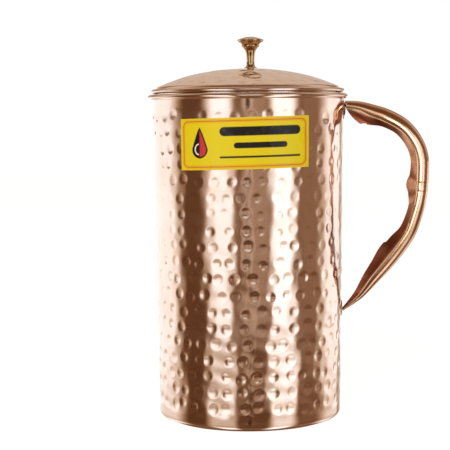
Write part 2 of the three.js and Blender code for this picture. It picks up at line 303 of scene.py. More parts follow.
def base_plate(material):
    """Flat disc that steps up to end flush with the wall, with a flange inside it and faint turning rings."""
    corner = FOOT_RADIUS - FOOT_CORNER
    corner_radius = FOOT_CORNER - 1.5 * SHEET - GAP
    step = corner - STEP_WIDTH
    flat = line((0, SHEET / 2), (step, SHEET / 2), FLAT_POINTS)
    turning_rings = TURNING_DEPTH * np.sin(flat[:, 0] * 900) ** 2
    flat[:, 1] += turning_rings * fade(flat[:, 0], step, step - 20 * MM)
    middle = np.concatenate([
        [(0, SHEET / 2)],
        flat,
        arc(step, SHEET / 2 + STEP_BEND, STEP_BEND, -90, -58, 4),
        arc(corner, FOOT_CORNER, corner_radius, -100, 0, 10),
        [(BASE_HIGH.x - SHEET / 2, BASE_HIGH.z)],
    ])
    mesh = turned("base_plate_fine", sheet_outline(middle, SHEET), 160, closed=False)
    return finish_mesh("base_plate_fine", mesh, "jug", "smooth_copper", material, "base_plate")


def base_braze(material):
    """Brazing in the groove under the foot, a little uneven all round."""
    low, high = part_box("base_braze")
    turn = np.linspace(0, 2 * np.pi, 240, endpoint=False)[:, None]
    section = np.radians(np.linspace(0, 360, 10, endpoint=False))[None, :]
    width = (0.85 + 0.12 * np.sin(13 * turn) * np.sin(7 * turn + 1)) * MM
    radius = high.x - 0.95 * MM + width * np.cos(section)
    z = (low.z + high.z) / 2 + (high.z - low.z) / 2 * np.sin(section) * (1 + 0 * turn)
    rings = np.stack([radius * np.cos(turn), radius * np.sin(turn), z], -1)
    mesh = ring_mesh("base_braze_fine", rings, closed=True)
    return finish_mesh("base_braze_fine", mesh, "jug", "braze", material, "base_braze")


# The handle

# From the lower point to the upper tip, in millimetres: the outer edge (x, z), the depth from that edge
# to the keel, half the width, and half the width of the slit between the two flanges.
HANDLE_STATIONS = [
    (55.8, 60.1, 1.5, 0.9, 0.05),
    (67, 67.6, 5.9, 2.6, 0.05),
    (76.5, 77.1, 9.8, 4.5, 0.05),
    (85.5, 86.6, 12.2, 5.4, 0.05),
    (93.2, 96.2, 12.1, 5.7, 0.05),
    (99.3, 106, 10.2, 5.7, 0.05),
    (103.8, 119.5, 9.5, 5.7, 0.05),
    (105.6, 128, 11.2, 5.7, 0.05),
    (106.3, 134.5, 12.9, 5.7, 0.05),
    (106.7, 141.5, 11.2, 5.7, 0.05),
    (106.6, 150.5, 10.6, 5.7, 0.05),
    (104.4, 159, 10.5, 5.7, 0.05),
    (99.5, 167.5, 10.5, 5.7, 0.05),
    (92.6, 174.4, 10.5, 5.7, 0.05),
    (83, 179.6, 10.9, 5.6, 0.05),
    (74, 182.5, 11.9, 5.2, 0.5),
    (66, 184.4, 12.6, 4.6, 1.3),
    (57.3, 184.9, 12.9, 3.4, 1.9),
]
CREASE_BELOW, CREASE_ABOVE = 106, 116  # degrees from the outermost line to where the flanges turn in
MOUTH_SLANT = 0.055 / MM  # how far the upper mouth is cut back, over the square of the depth
CURVE_POINTS, FLANK_POINTS = 22, 11  # points on half of a section
SAMPLES = 14  # sections from one station to the next
NOTCH_SWELL = (2.4, 3.4)  # stations over which the keel grows deeper, going up
NOTCH_STATION, NOTCH_STEP = 3.65, 0.9 * MM  # where it steps back, and by how much
WRINKLES_START, WRINKLES_END, WRINKLE_DEPTH = (6.5, 7.5), (11.5, 10), 0.05 * MM
GROOVES, GROOVE_WIDTH, GROOVE_DEPTH = (7.38, 8.05, 8.2), 0.05, 0.12 * MM  # lines across, near the bump
STAIN_AND_SHADE_LEAST = 0.35  # dark red-brown half-way along, as a share of that at the two ends: discoloured by brazing towards the ends, painted shade on the flanges
STAIN_AND_SHADE_BELOW, STAIN_AND_SHADE_ABOVE = (6.5, 5), (12, 14.5)  # stations where it grows to full


def smooth_path(values, samples):
    """Catmull-Rom curve through rows of values, with that many samples between two rows."""
    values = np.asarray(values, float)
    padded = np.concatenate([2 * values[:1] - values[1:2], values, 2 * values[-1:] - values[-2:-1]])
    share = np.arange(0, len(values) - 1 + 1e-9, 1 / samples)
    index = np.minimum(share.astype(int), len(values) - 2)
    t = (share - index)[:, None]
    a, b, c, d = (padded[index + k] for k in range(4))
    curve = 2 * b + (c - a) * t + (2 * a - 5 * b + 4 * c - d) * t**2 + (3 * b - a - 3 * c + d) * t**3
    return share, curve / 2


def handle_section(depth, half_width, crease, slit, sheet):
    """Outline of the rolled sheet, (inwards, sideways): round outside, flanges turned in to a keel."""
    turn = np.linspace(0, math.radians(crease), CURVE_POINTS)
    round_part = np.stack([half_width * (1 - np.cos(turn)), half_width * np.sin(turn)], -1)
    keel = np.array([depth, sheet + slit])
    share = np.linspace(0, 1, FLANK_POINTS + 1)[1:, None]
    bow = 0.12 * MM * np.sin(np.pi * share) * min(1, depth / (8 * MM))
    flank = round_part[-1] * (1 - share) + keel * share - bow * np.array([[0.3, 1]])
    half = np.concatenate([round_part, flank])
    along = np.gradient(half, axis=0)
    along /= np.linalg.norm(along, axis=1)[:, None]
    outwards = np.stack([-along[:, 1], along[:, 0]], -1)
    inner = half - outwards * sheet
    inner[:, 1] = np.maximum(inner[:, 1], slit)
    inner[0, 1] = 0
    lip = (half[-1:] + inner[-1:]) / 2 + np.array([[0.3 * sheet, 0]])
    side = np.concatenate([half, lip])
    mirror = np.array([1, -1])
    outer = np.concatenate([side[::-1], side[1:] * mirror])
    inner = np.concatenate([inner, inner[-1:]])
    inner = np.concatenate([inner[::-1], inner[1:] * mirror])
    return np.concatenate([outer, inner[::-1]])


def handle_folded():
    """For each point of a section: 1 on the flanges and inside, 0 outside. There the metal is painted dark
    red-brown, partly discoloured by brazing, partly painted shade where the flanges face the wall.
    """
    flank = fade(np.arange(CURVE_POINTS + FLANK_POINTS + 1), CURVE_POINTS - 2, CURVE_POINTS + 2)
    outer = np.concatenate([flank[::-1], flank[1:]])
    return np.concatenate([outer, np.ones_like(outer)]).astype(np.float32)


def handle_relief(station, inwards, sideways, half_width):
    """Fine relief of one section: wrinkles half-way along the handle, and the grooves."""
    wrinkled = fade(station, *WRINKLES_START) * fade(station, *WRINKLES_END)
    wrinkles = np.sin(station * 31 + sideways * 2600) * np.sin(station * 17 - sideways * 1900 + 1)
    inwards = inwards + WRINKLE_DEPTH * wrinkled * wrinkles
    groove = sum(math.exp(-(((station - place) / GROOVE_WIDTH) ** 2)) for place in GROOVES)
    return inwards + GROOVE_DEPTH * groove * (half_width > inwards), sideways * (1 - 0.03 * groove)


def handle_shell(material):
    """Handle rolled from one sheet, pointed below, with its slit spread open at the upper mouth."""
    stations, path = smooth_path(np.array(HANDLE_STATIONS) * MM, SAMPLES)
    edge = path[:, :2]
    along = np.gradient(edge, axis=0)
    along /= np.linalg.norm(along, axis=1)[:, None]
    last = len(HANDLE_STATIONS) - 1
    rings = []
    for station, (x, z), (tangent_x, tangent_z), shape in zip(stations, edge, along, path[:, 2:]):
        depth, half_width, slit = shape
        depth += NOTCH_STEP * fade(station, NOTCH_STATION + 0.1, NOTCH_STATION) * fade(station, *NOTCH_SWELL)
        sheet = min(HANDLE_SHEET, 0.45 * half_width)
        crease = CREASE_BELOW + (CREASE_ABOVE - CREASE_BELOW) * fade(station, 6, 11)
        inwards, sideways = handle_section(depth, half_width, crease, slit, sheet).T
        slant = MOUTH_SLANT * max(0, 1 - (last - station) / 3) * np.abs(inwards) * inwards
        inwards, sideways = handle_relief(station, inwards, sideways, half_width)
        rings.append(np.stack([
            x - tangent_z * inwards - tangent_x * slant,
            sideways,
            z + tangent_x * inwards - tangent_z * slant,
        ], -1))
    mesh = ring_mesh("handle_shell_fine", rings, sheet_ends=True)
    ends = np.maximum(fade(stations, *STAIN_AND_SHADE_BELOW), fade(stations, *STAIN_AND_SHADE_ABOVE))
    darkening_along = STAIN_AND_SHADE_LEAST + (1 - STAIN_AND_SHADE_LEAST) * ends
    # painted dark red-brown on the flanges and inside: discoloured by brazing towards the ends, and painted
    # shade where the flanges face the wall
    paint_points(mesh, "flank_stain_and_shade", np.outer(darkening_along, handle_folded()))
    return finish_mesh("handle_shell_fine", mesh, "jug", "handle_copper", material, "handle_shell")


def on_wall(across, z, stand_off):
    """Points near the wall's +X side, by the distance round it from +X."""
    radius = wall_radius(z)
    turn = across / radius
    return np.stack([(radius + stand_off) * np.cos(turn), (radius + stand_off) * np.sin(turn), z], -1)


def handle_top_tab(material):
    """Flattened tab of the handle's tip, pressed on the wall and thickest along its middle."""
    middle = (TAB_LOW.z + TAB_HIGH.z) / 2
    half_height = (TAB_HIGH.z - TAB_LOW.z) / 2
    half_width = TAB_HIGH.y
    turn = np.linspace(0, 2 * np.pi, 64, endpoint=False)[None, :]
    levels = [
        (0.2, 0.1), (0.7, 0.1), (0.93, 0.1), (1, 0.3), (1, 0.6),
        (0.93, 0.9), (0.75, 1.25), (0.5, 1.45), (0.2, 1.55),
    ]
    size, stand_off = np.array(levels).T[:, :, None]
    ragged = 1 + 0.03 * np.sin(5 * turn) + 0.02 * np.sin(11 * turn + 1)
    across = size * half_width * np.cos(turn) * ragged
    z = middle + size * half_height * np.sin(turn) * ragged
    rings = on_wall(across, z, stand_off * MM + 0 * turn)
    mesh = ring_mesh("handle_top_tab_fine", rings)
    return finish_mesh("handle_top_tab_fine", mesh, "jug", "handle_copper", material, "handle_top_tab")


def braze_fillet(node, material):
    """Uneven fillet of brazing round a joint on the wall."""
    low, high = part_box(node)
    middle = (low.z + high.z) / 2
    half_width, half_height = high.y, (high.z - low.z) / 2
    turn = np.linspace(0, 2 * np.pi, 96, endpoint=False)[:, None]
    uneven = 1 + 0.05 * np.sin(7 * turn) + 0.04 * np.sin(13 * turn + 2)
    section = [(1.2, 0.1), (1.2, 0.5), (1, 0.75), (0.75, 0.7), (0.4, 0.4), (0.1, 0.2), (0, 0.1)]
    inset, stand_off = np.array(section).T * MM
    across = (half_width * uneven - inset) * np.cos(turn)
    z = middle + (half_height * (2 - uneven) - inset) * np.sin(turn)
    rings = on_wall(across, z, stand_off * uneven)
    mesh = ring_mesh(node + "_fine", rings, closed=True)
    return finish_mesh(node + "_fine", mesh, "jug", "braze", material, node)


# The label

LABEL_RISE = 1.6 * MM  # how much higher its right end sits than its left end
LABEL_START, LABEL_END = math.radians(-133), math.radians(-54)  # round the axis from +X
LABEL_COLUMNS, LABEL_ROWS = 270, 104
LABEL_STAND_OFF, FOIL = 0.15 * MM, 0.1 * MM
LABEL_SAG = 0.3  # how far the foil follows the hammer marks in at its lower edge, as a share of their depth


def label(material):
    """Foil label on the hammered wall, with its printed colours painted on a fine grid."""
    radius = wall_radius((LABEL_LOW.z + LABEL_HIGH.z) / 2)
    width = (LABEL_END - LABEL_START) * radius
    height = LABEL_HIGH.z - LABEL_LOW.z - LABEL_RISE
    across = np.linspace(0, 1, LABEL_COLUMNS)[:, None]
    up = np.linspace(0, 1, LABEL_ROWS)[None, :]
    z = LABEL_LOW.z + up * height + LABEL_RISE * across
    turn = LABEL_START + (LABEL_END - LABEL_START) * across + 0 * up
    dent = wall_dent(turn, z)
    sagged = LABEL_SAG * dent * fade(z, LABEL_HIGH.z, LABEL_LOW.z)
    outside = wall_radius(z) + LABEL_STAND_OFF - np.where(dent > 0, sagged, dent)
    front = np.stack([outside * np.cos(turn), outside * np.sin(turn), z], -1)
    behind = np.stack([(outside - FOIL) * np.cos(turn), (outside - FOIL) * np.sin(turn), z], -1)
    rings = np.concatenate([front, behind[:, ::-1]], axis=1)
    mesh = ring_mesh("label_fine", rings, sheet_ends=True)
    colours = label_print(across * width + 0 * up, up * height + 0 * across, width, height)
    backs = np.full_like(colours, 0.7)
    attribute = mesh.color_attributes.new("print", "FLOAT_COLOR", "POINT")
    attribute.data.foreach_set("color", np.concatenate([colours, backs], axis=1).astype(np.float32).ravel())
    return finish_mesh("label_fine", mesh, "jug", "label_foil", material, "label")


def rounded_box(x, y, middle_x, middle_y, half_width, half_height, corner):
    """Distance outside a rounded rectangle, below 0 inside it."""
    over_x = np.abs(x - middle_x) - half_width + corner
    over_y = np.abs(y - middle_y) - half_height + corner
    outside = np.hypot(np.maximum(over_x, 0), np.maximum(over_y, 0))
    return outside + np.minimum(np.maximum(over_x, over_y), 0) - corner


def label_print(x, y, width, height):
    """Colours of the label: yellow ground, border line, water drop, and plain bars in place of words."""
    yellow, orange, red = (0.70, 0.535, 0.003), (0.72, 0.33, 0.01), (0.44, 0.05, 0.02)
    ink, cherry, pale = (0.012, 0.009, 0.008), (0.52, 0.03, 0.035), (0.9, 0.87, 0.7)
    colours = np.empty(x.shape + (4,))
    colours[...] = (*yellow, 1)

    def paint(distance, colour, softness=0.12 * MM):
        cover = np.clip(0.5 - distance / softness, 0, 1)[..., None]
        colours[..., :3] = colours[..., :3] * (1 - cover) + np.array(colour) * cover

    border = rounded_box(x, y, width / 2, height / 2, width / 2 - 2.2 * MM, height / 2 - 1.7 * MM, 3 * MM)
    paint(np.abs(border) - 0.8 * MM, orange, 1.2 * MM)
    paint(np.abs(border) - 0.15 * MM, red)
    drop_x, drop_y, drop_size = 13 * MM, 11.5 * MM, 5 * MM
    drop_height = 2.4 * drop_size  # from its widest place to its tip
    rise = np.clip((y - drop_y) / drop_height, 0, 1)
    drop = np.hypot(x - drop_x, np.where(y > drop_y, 0, y - drop_y)) - drop_size * (1 - rise) ** 0.8
    drop = np.where(y > drop_y + drop_height, 1, drop)
    paint(drop, ink)
    paint(np.maximum(drop + 0.9 * MM, drop_x - x), cherry)
    glint = np.abs(np.hypot(x - drop_x, y - drop_y) - 3 * MM) - 0.3 * MM
    left_only = 9 * np.maximum(0, x - drop_x + 0.6 * MM)
    paint(glint + left_only, pale)
    bars = [(48, 21, 23, 2.5), (48, 13.2, 15, 1.6), (48, 6.9, 23, 0.55)]  # middle and half sizes
    for middle_x, middle_y, half_width, half_height in np.array(bars) * MM:
        paint(rounded_box(x, y, middle_x, middle_y, half_width, half_height, half_height), ink)
    return colours


# The lid

DOME_TOP = DOME_HIGH.z
DOME_EDGE_RADIUS = 52.8 * MM
DOME_DROP = 10.4 * MM
DOME_POWER = 2.3  # how the drop grows with the radius: flat in the middle, steeper outside
BEAD_Z = DOME_LOW.z + LID_BEAD
BEAD_RADIUS = DOME_HIGH.x - LID_BEAD
STUD_HOLE = 2.3 * MM  # radius
STUD_TURNS, STUD_ROOT, STUD_CREST = 9, 1.7 * MM, 2 * MM
THREAD_START, THREAD_LENGTH = 0.08, 0.7  # as shares of the stud
LID_MARK_ROWS, LID_FIRST_ROW, LID_ROW_STEP = 6, 11 * MM, 7.7 * MM
LID_MARK_SPACING = 10.5 * MM
LID_COLUMNS, LID_RINGS = 300, 58
NO_PERIOD = 1  # metre, so wide that the marks on the dome never repeat


def lid_marks():
    """Rings of soft hammer marks on the dome, as (x, y, radius, depth)."""
    marks = []
    for ring in range(LID_MARK_ROWS):
        radius = LID_FIRST_ROW + LID_ROW_STEP * ring
        count = round(2 * np.pi * radius / LID_MARK_SPACING)
        start = RANDOM.uniform(0, 2 * np.pi)
        for i in range(count):
            turn = start + 2 * np.pi * (i + RANDOM.uniform(-0.2, 0.2)) / count
            reach = radius + RANDOM.normal(0, 0.7 * MM)
            size = RANDOM.uniform(2.8, 3.9) * MM
            depth = RANDOM.uniform(0.3, 0.5) * MM
            marks.append((reach * math.cos(turn), reach * math.sin(turn), size, depth))
    return marks


def lid_dome(material):
    """Lightly hammered dome with a hole, a groove and a rolled edge, as rings from the hole out and back."""
    turn = np.linspace(0, 2 * np.pi, LID_COLUMNS, endpoint=False)
    share = np.linspace(0, 1, LID_RINGS)[:, None]
    reach = STUD_HOLE + (DOME_EDGE_RADIUS - STUD_HOLE) * share
    x = KNOB_X * (1 - share) ** 2 + reach * np.cos(turn)
    y = reach * np.sin(turn)
    drop = DOME_DROP * (np.hypot(x, y) / DOME_EDGE_RADIUS) ** DOME_POWER
    beaten = beaten_in(x, y, lid_marks(), NO_PERIOD) * fade(share, 0.06, 0.12) * fade(share, 1, 0.95)
    waves = 0.07 * MM * np.sin(3 * turn + 90 * reach) * np.sin(5 * turn - 160 * reach) * fade(share, 1, 0.9)
    z = DOME_TOP - drop - beaten - waves
    outside = np.stack([x, y, z], -1)
    inside = (outside - [0, 0, LID_SHEET])[::-1]
    edge_height = DOME_TOP - DOME_DROP
    outer_edge = turned_rings(arc(BEAD_RADIUS, BEAD_Z, LID_BEAD, 156, -140, 26), turn)
    inner_edge = turned_rings(arc(BEAD_RADIUS, BEAD_Z, LID_BEAD - LID_SHEET, -140, 160, 8), turn)
    groove = turned_rings([(DOME_EDGE_RADIUS + 0.5 * MM, edge_height - 0.75 * MM)], turn)
    under = turned_rings([(DOME_EDGE_RADIUS + 0.25 * MM, edge_height - 1.5 * MM)], turn)
    rings = np.concatenate([outside, groove, outer_edge, inner_edge, under, inside])
    mesh = ring_mesh("lid_dome_fine", rings, closed=True)
    return finish_mesh("lid_dome_fine", mesh, "lid", "lid_copper", material, "lid_dome")


def lid_collar(material):
    """Collar in the mouth, with a rounded lower lip."""
    middle = COLLAR_HIGH.x - LID_SHEET / 2
    profile = np.concatenate([
        arc(middle, COLLAR_LOW.z + LID_SHEET / 2, LID_SHEET / 2, 180, 360, 6),
        [(COLLAR_HIGH.x, COLLAR_HIGH.z), (COLLAR_HIGH.x - LID_SHEET, COLLAR_HIGH.z)],
    ])
    mesh = turned("lid_collar_fine", profile, 180)
    return finish_mesh("lid_collar_fine", mesh, "lid", "smooth_copper", material, "lid_collar")


def knob(material):
    """Turned brass knob on a threaded stud."""
    foot = DOME_TOP + GAP
    thread = [
        (radius, KNOB_LOW.z + (foot - KNOB_LOW.z) * (THREAD_START + THREAD_LENGTH * (i + part) / STUD_TURNS))
        for i in range(STUD_TURNS)
        for part, radius in ((0, STUD_ROOT), (0.5, STUD_CREST))
    ]
    stem = smooth_path([
        (3.7, 0.4), (2.8, 0.9), (2.3, 2.4), (2.35, 5), (2.6, 7.5), (3.2, 10.3), (4.4, 12.1),
    ], 8)[1]
    head = smooth_path([
        (5.1, 13.8), (5.9, 14.5), (7.2, 15.35), (7.65, 16), (7.5, 16.55),
        (6.2, 17.05), (4.2, 17.75), (2, 18.2), (0, 18.3),
    ], 8)[1]
    ring = arc(4.4, 13, 0.85, -70, 80, 12)
    rim = [(2, 0), (3.5, 0), (3.75, 0.1), (3.8, 0.3)]
    over_foot = np.concatenate([rim, stem, ring, head]) * MM + [0, foot]
    below = [(0, KNOB_LOW.z), (1.5 * MM, KNOB_LOW.z)]
    plain = [(STUD_CREST, foot - 1.2 * MM)]
    profile = np.concatenate([below, thread, plain, over_foot])
    mesh = turned("knob_fine", profile, 96, middle_x=KNOB_X, closed=False)
    return finish_mesh("knob_fine", mesh, "lid", "knob_brass", material, "knob")


def knob_washer(material):
    """Stamped washer with rounded edges."""
    low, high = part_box("knob_washer")
    outer, inner, edge = high.y, STUD_HOLE, 0.25 * MM
    profile = np.concatenate([
        arc(outer - edge, low.z + edge, edge, -90, 0, 4),
        arc(outer - edge, high.z - edge, edge, 0, 90, 4),
        [(inner, high.z), (inner, low.z)],
    ])
    mesh = turned("knob_washer_fine", profile, 64, middle_x=KNOB_X)
    return finish_mesh("knob_washer_fine", mesh, "lid", "knob_brass", material, "knob_washer")


def knob_nut(material):
    """Hexagon nut with chamfered corners and a thread in its bore."""
    low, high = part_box("knob_nut")
    turn = np.linspace(0, 2 * np.pi, 120, endpoint=False)[None, :]
    half_flat = high.y
    hexagon = half_flat / np.cos((turn + np.pi / 6) % (np.pi / 3) - np.pi / 6)
    height = (high.z - low.z) / MM
    chamfer = [(0, 3.45), (0.35, 4.1), (height - 0.35, 4.1), (height, 3.45)]  # height and greatest radius
    outside = [np.minimum(hexagon, limit * MM) for _, limit in chamfer]
    levels = [low.z + up * MM for up, _ in chamfer]
    bore_levels = np.linspace(high.z, low.z, 15)
    bore = [0 * turn + (2.3 if i % 2 else 2.15) * MM for i in range(len(bore_levels))]
    radius = np.concatenate(outside + bore)
    z = np.concatenate([levels, bore_levels])[:, None]
    rings = np.stack([KNOB_X + radius * np.cos(turn), radius * np.sin(turn), z + 0 * turn], -1)
    mesh = ring_mesh("knob_nut_fine", rings, closed=True)
    return finish_mesh("knob_nut_fine", mesh, "lid", "knob_brass", material, "knob_nut")


# Materials

def new_material(name, metallic, base_roughness):
    """Material with its node tree and its shader."""
    material = bpy.data.materials.new(name)
    material.use_nodes = True
    tree = material.node_tree
    shader = tree.nodes["Principled BSDF"]
    shader.inputs["Metallic"].default_value = metallic
    shader.inputs["Roughness"].default_value = base_roughness
    return material, tree, shader


def noise(tree, scale, stretch=(1, 1, 1), detail=3, roughness=0.5):
    """Noise over the object's own coordinates. Stretch is how fast it changes along X, Y and Z."""
    place = tree.nodes.new("ShaderNodeTexCoord")
    mapping = tree.nodes.new("ShaderNodeMapping")
    mapping.inputs["Scale"].default_value = stretch
    texture = tree.nodes.new("ShaderNodeTexNoise")
    texture.inputs["Scale"].default_value = scale
    texture.inputs["Detail"].default_value = detail
    texture.inputs["Roughness"].default_value = roughness
    tree.links.new(place.outputs["Object"], mapping.inputs["Vector"])
    tree.links.new(mapping.outputs["Vector"], texture.inputs["Vector"])
    return texture.outputs["Fac"]


def mapped(tree, value, low, high, to_low, to_high, curve="LINEAR"):
    """Value carried from one range to another, held at both ends."""
    node = tree.nodes.new("ShaderNodeMapRange")
    node.interpolation_type = curve
    for socket, number in zip(("From Min", "From Max", "To Min", "To Max"), (low, high, to_low, to_high)):
        node.inputs[socket].default_value = number
    tree.links.new(value, node.inputs["Value"])
    return node.outputs["Result"]


def soft_step(tree, value, start, end):
    """0 before start, 1 after end, smooth between. Start may be above end."""
    if start < end:
        return mapped(tree, value, start, end, 0.0, 1.0, "SMOOTHSTEP")
    return mapped(tree, value, end, start, 1.0, 0.0, "SMOOTHSTEP")


def arithmetic(tree, operation, first, second=0.0):
    """Maths on two values. Either may be a number or a socket."""
    node = tree.nodes.new("ShaderNodeMath")
    node.operation = operation
    for socket, value in zip(node.inputs, (first, second)):
        if isinstance(value, bpy.types.NodeSocket):
            tree.links.new(value, socket)
        else:
            socket.default_value = value
    return node.outputs[0]


def mixed(tree, share, first, second):
    """Two colours mixed by a share. Either may be a fixed colour or a socket."""
    node = tree.nodes.new("ShaderNodeMix")
    node.data_type = "RGBA"
    for socket, value in ((node.inputs[0], share), (node.inputs[6], first), (node.inputs[7], second)):
        if isinstance(value, bpy.types.NodeSocket):
            tree.links.new(value, socket)
        else:
            socket.default_value = value if isinstance(value, float) else (*value, 1)
    return node.outputs[2]


def bump(tree, height, strength, distance, normal=None):
    """Fine relief that the geometry is too coarse for."""
    node = tree.nodes.new("ShaderNodeBump")
    node.inputs["Strength"].default_value = strength
    node.inputs["Distance"].default_value = distance
    tree.links.new(height, node.inputs["Height"])
    if normal is not None:
        tree.links.new(normal, node.inputs["Normal"])
    return node.outputs["Normal"]


def painted(tree, attribute):
    """Colour attribute that the mesh carries."""
    node = tree.nodes.new("ShaderNodeVertexColor")
    node.layer_name = attribute
    return node.outputs["Color"]


def source(shader, socket):
    """What feeds a socket of the shader so far."""
    return shader.inputs[socket].links[0].from_socket


def roughen(tree, shader, share, amount):
    """Add an amount of roughness where the share is 1."""
    added = arithmetic(tree, "MULTIPLY", share, amount)
    rough = arithmetic(tree, "ADD", source(shader, "Roughness"), added)
    tree.links.new(rough, shader.inputs["Roughness"])


def worn_edges(tree):
    """Share of wear: 1 on ridges and edges, 0 on flat and hollow parts."""
    geometry = tree.nodes.new("ShaderNodeNewGeometry")
    return mapped(tree, geometry.outputs["Pointiness"], 0.52, 0.62, 0.0, 1.0)


def metal(name, tint, dark_tint, bright_tint, roughness, spread, brush, brush_strength, grain=0.15):
    """Polished metal: cloudy tint, darker film in patches, worn bright edges and polishing lines."""
    material, tree, shader = new_material(name, 1.0, roughness)
    clouds = mapped(tree, noise(tree, 38, detail=4), 0.35, 0.7, 0.0, 1.0)
    film = mapped(tree, noise(tree, 130, detail=5, roughness=0.62), 0.5, 0.72, 0.0, 0.5)
    colour = mixed(tree, clouds, tint, tuple((a + b) / 2 for a, b in zip(tint, dark_tint)))
    colour = mixed(tree, film, colour, dark_tint)
    colour = mixed(tree, worn_edges(tree), colour, bright_tint)
    tree.links.new(colour, shader.inputs["Base Color"])
    rough = mapped(tree, noise(tree, 90, brush, detail=4), 0.3, 0.7, roughness - spread, roughness + spread)
    tree.links.new(rough, shader.inputs["Roughness"])
    lines = bump(tree, noise(tree, 260, brush, detail=5, roughness=0.7), brush_strength, 0.02 * MM)
    grained = bump(tree, noise(tree, 1500, detail=2), grain, 0.01 * MM, lines)
    tree.links.new(grained, shader.inputs["Normal"])
    return material


STAIN_ROUGHER = 0.2
FILM_METALLIC, FILM_ROUGHER = 0.45, 0.22
BAND_ROUGHER = -0.045  # below 0, because the bands are smoother than the hammered part
BAND_START, BAND_FULL = 1 * MM, 5 * MM  # beyond the outermost rows of marks


def stained_and_shaded(material, attribute, stain_and_shade):
    """The same metal, darker and duller where the mesh's own attribute says so: a discolouring together with
    painted shade.
    """
    tree = material.node_tree
    shader = tree.nodes["Principled BSDF"]
    patchy = mapped(tree, noise(tree, 70, detail=4), 0.3, 0.6, 0.75, 1.0)
    share = arithmetic(tree, "MULTIPLY", painted(tree, attribute), patchy)
    colour = mixed(tree, share, source(shader, "Base Color"), stain_and_shade)
    tree.links.new(colour, shader.inputs["Base Color"])
    roughen(tree, shader, share, STAIN_ROUGHER)
    return material


def dulled(material, attribute, film):
    """The same metal, bare and unpolished under a dull film where the mesh's own attribute says so."""
    tree = material.node_tree
    shader = tree.nodes["Principled BSDF"]
    share = painted(tree, attribute)
    clean = source(shader, "Base Color")
    patchy = mixed(tree, mapped(tree, noise(tree, 45, detail=4), 0.35, 0.65, 0.6, 1.0), clean, film)
    tree.links.new(mixed(tree, share, clean, patchy), shader.inputs["Base Color"])
    tree.links.new(mapped(tree, share, 0.0, 1.0, 1.0, FILM_METALLIC), shader.inputs["Metallic"])
    roughen(tree, shader, share, FILM_ROUGHER)
    return material


def turned_bands(material):
    """The same metal, smoother and with fine turned lines on the bands over and under the hammer marks."""
    tree = material.node_tree
    shader = tree.nodes["Principled BSDF"]
    place = tree.nodes.new("ShaderNodeTexCoord")
    split = tree.nodes.new("ShaderNodeSeparateXYZ")
    tree.links.new(place.outputs["Object"], split.inputs[0])
    above = soft_step(tree, split.outputs["Z"], MARK_HIGH + BAND_START, MARK_HIGH + BAND_FULL)
    below = soft_step(tree, split.outputs["Z"], MARK_LOW - BAND_START, MARK_LOW - BAND_FULL)
    share = arithmetic(tree, "MAXIMUM", above, below)
    roughen(tree, shader, share, BAND_ROUGHER)
    lines = arithmetic(tree, "MULTIPLY", share, noise(tree, 1400, (0.01, 0.01, 1), detail=3, roughness=0.7))
    turned_lines = bump(tree, lines, 0.5, 0.02 * MM, source(shader, "Normal"))
    tree.links.new(turned_lines, shader.inputs["Normal"])
    return material


def label_foil():
    """Printed foil: the painted colours under clear varnish, slightly rubbed."""
    material, tree, shader = new_material("label_foil", 0.0, 0.35)
    rubbed = mapped(tree, noise(tree, 300, detail=5, roughness=0.6), 0.55, 0.8, 0.0, 0.06)
    colour = mixed(tree, rubbed, painted(tree, "print"), (0.72, 0.58, 0.2))
    tree.links.new(colour, shader.inputs["Base Color"])
    rough = mapped(tree, noise(tree, 160, detail=3), 0.3, 0.7, 0.25, 0.45)
    tree.links.new(rough, shader.inputs["Roughness"])
    tree.links.new(bump(tree, noise(tree, 220, detail=3), 0.25, 0.05 * MM), shader.inputs["Normal"])
    shader.inputs["Specular IOR Level"].default_value = 0.25
    shader.inputs["Coat Weight"].default_value = 0.1
    shader.inputs["Coat Roughness"].default_value = 0.15
    return material


ROUND = (0.12, 0.12, 1)  # polishing lines run round the axis
EVEN = (1, 1, 1)
COPPER = dict(tint=(0.95, 0.75, 0.63), dark_tint=(0.87, 0.6, 0.45), bright_tint=(0.98, 0.83, 0.73))
hammered_copper = metal(
    "hammered_copper", **COPPER,
    roughness=0.14, spread=0.04, brush=ROUND, brush_strength=0.35,
)
wall_copper = dulled(turned_bands(hammered_copper), "inside", (0.66, 0.36, 0.23))
lid_copper = metal("lid_copper", **COPPER, roughness=0.13, spread=0.05, brush=EVEN, brush_strength=0.3)
smooth_copper = metal("smooth_copper", **COPPER, roughness=0.16, spread=0.05, brush=ROUND, brush_strength=0.5)
handle_copper = metal(
    "handle_copper", (0.78, 0.48, 0.32), (0.54, 0.25, 0.14), (0.9, 0.66, 0.5),
    roughness=0.17, spread=0.06, brush=EVEN, brush_strength=0.45,
)
# flanges painted dark red-brown: partly discoloured by brazing, partly painted shade
handle_stained_and_shaded = stained_and_shaded(
    metal(
        "handle_stained_and_shaded", (0.84, 0.55, 0.36), (0.6, 0.3, 0.16), (0.94, 0.74, 0.55),
        roughness=0.17, spread=0.06, brush=EVEN, brush_strength=0.45,
    ),
    "flank_stain_and_shade", (0.3, 0.085, 0.04),
)
wire_copper = metal(
    "wire_copper", (0.76, 0.46, 0.33), (0.5, 0.25, 0.16), (0.9, 0.62, 0.48),
    roughness=0.3, spread=0.08, brush=EVEN, brush_strength=0.4,
)
brass = metal(
    "knob_brass", (0.74, 0.53, 0.29), (0.34, 0.17, 0.07), (0.98, 0.86, 0.6),
    roughness=0.05, spread=0.02, brush=(0.1, 0.1, 1), brush_strength=0.3,
)
brazing = metal(
    "brazing", (0.78, 0.6, 0.36), (0.5, 0.32, 0.18), (0.88, 0.74, 0.5),
    roughness=0.38, spread=0.12, brush=EVEN, brush_strength=0.9, grain=0.6,
)

